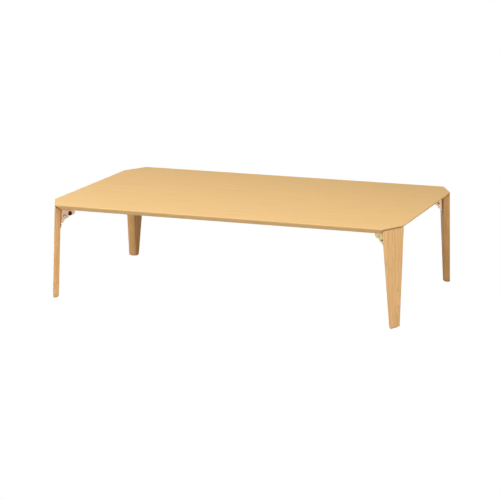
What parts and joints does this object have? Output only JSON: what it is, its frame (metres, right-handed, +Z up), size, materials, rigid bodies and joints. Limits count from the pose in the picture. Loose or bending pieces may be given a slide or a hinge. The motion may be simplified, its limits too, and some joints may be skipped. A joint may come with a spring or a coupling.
{
  "type": "folding low table",
  "caption": "Low wooden floor table with a cut-corner oblong top, an undercut edge and splayed board legs that fold flat on sprung steel brackets.",
  "frame": {"origin": "on the floor under the middle of the top, with the legs open", "axes": "+X along the length to the right, +Y across to the back, +Z up"},
  "size_m": [1.2, 0.75, 0.32],
  "materials": {
    "top_wood": "satin clear lacquer over pale straight grain",
    "leg_wood": "satin clear lacquer, grain along the leg",
    "zinc_steel": "zinc-plated pressed sheet, faint yellow passivation",
    "pin_steel": "zinc-plated, turned",
    "spring_steel": "plain drawn wire",
    "screw_steel": "zinc-plated",
    "black_plastic": "fine moulded texture",
    "felt": "pressed brown felt"
  },
  "bodies": {
    "top": {"tabletop": "top_wood", "table_screws": "screw_steel", "pivot_rivets": "pin_steel", "front_left_table_bracket": "zinc_steel", "front_left_lock_spring": "spring_steel", "back_left_table_bracket": "zinc_steel", "back_left_lock_spring": "spring_steel", "front_right_table_bracket": "zinc_steel", "front_right_lock_spring": "spring_steel", "back_right_table_bracket": "zinc_steel", "back_right_lock_spring": "spring_steel"},
    "leg_front_left": {"front_left_leg": "leg_wood", "front_left_leg_bracket": "zinc_steel", "front_left_leg_screws": "screw_steel", "front_left_foot_pad": "felt"},
    "lock_front_left": {"front_left_lock_bar": "pin_steel", "front_left_bar_cap": "black_plastic"},
    "leg_back_left": {"back_left_leg": "leg_wood", "back_left_leg_bracket": "zinc_steel", "back_left_leg_screws": "screw_steel", "back_left_foot_pad": "felt"},
    "lock_back_left": {"back_left_lock_bar": "pin_steel", "back_left_bar_cap": "black_plastic"},
    "leg_front_right": {"front_right_leg": "leg_wood", "front_right_leg_bracket": "zinc_steel", "front_right_leg_screws": "screw_steel", "front_right_foot_pad": "felt"},
    "lock_front_right": {"front_right_lock_bar": "pin_steel", "front_right_bar_cap": "black_plastic"},
    "leg_back_right": {"back_right_leg": "leg_wood", "back_right_leg_bracket": "zinc_steel", "back_right_leg_screws": "screw_steel", "back_right_foot_pad": "felt"},
    "lock_back_right": {"back_right_lock_bar": "pin_steel", "back_right_bar_cap": "black_plastic"}
  },
  "joints": [
    {"name": "front_left_fold", "type": "hinge", "parent": "top", "child": "leg_front_left", "pos_m": [-0.54914, -0.31507, 0.275], "axis": [0.4472, -0.8944, 0], "range_deg": [0, 92.4]},
    {"name": "front_left_lock", "type": "slide", "parent": "top", "child": "lock_front_left", "axis": [-0.7969, -0.3985, -0.454], "range_m": [0, 0.0065], "deforming": ["front_left_lock_spring"]},
    {"name": "back_left_fold", "type": "hinge", "parent": "top", "child": "leg_back_left", "pos_m": [-0.54914, 0.31507, 0.275], "axis": [-0.4472, -0.8944, 0], "range_deg": [0, 92.4]},
    {"name": "back_left_lock", "type": "slide", "parent": "top", "child": "lock_back_left", "axis": [-0.7969, 0.3985, -0.454], "range_m": [0, 0.0065], "deforming": ["back_left_lock_spring"]},
    {"name": "front_right_fold", "type": "hinge", "parent": "top", "child": "leg_front_right", "pos_m": [0.54914, -0.31507, 0.275], "axis": [0.4472, 0.8944, 0], "range_deg": [0, 92.4]},
    {"name": "front_right_lock", "type": "slide", "parent": "top", "child": "lock_front_right", "axis": [0.7969, -0.3985, -0.454], "range_m": [0, 0.0065], "deforming": ["front_right_lock_spring"]},
    {"name": "back_right_fold", "type": "hinge", "parent": "top", "child": "leg_back_right", "pos_m": [0.54914, 0.31507, 0.275], "axis": [-0.4472, 0.8944, 0], "range_deg": [0, 92.4]},
    {"name": "back_right_lock", "type": "slide", "parent": "top", "child": "lock_back_right", "axis": [0.7969, 0.3985, -0.454], "range_m": [0, 0.0065], "deforming": ["back_right_lock_spring"]}
  ],
  "couplings": [
    {"joint": "front_left_lock", "follows": "front_left_fold", "m_per_rad": 0.00403},
    {"joint": "back_left_lock", "follows": "back_left_fold", "m_per_rad": 0.00403},
    {"joint": "front_right_lock", "follows": "front_right_fold", "m_per_rad": 0.00403},
    {"joint": "back_right_lock", "follows": "back_right_fold", "m_per_rad": 0.00403}
  ]
}
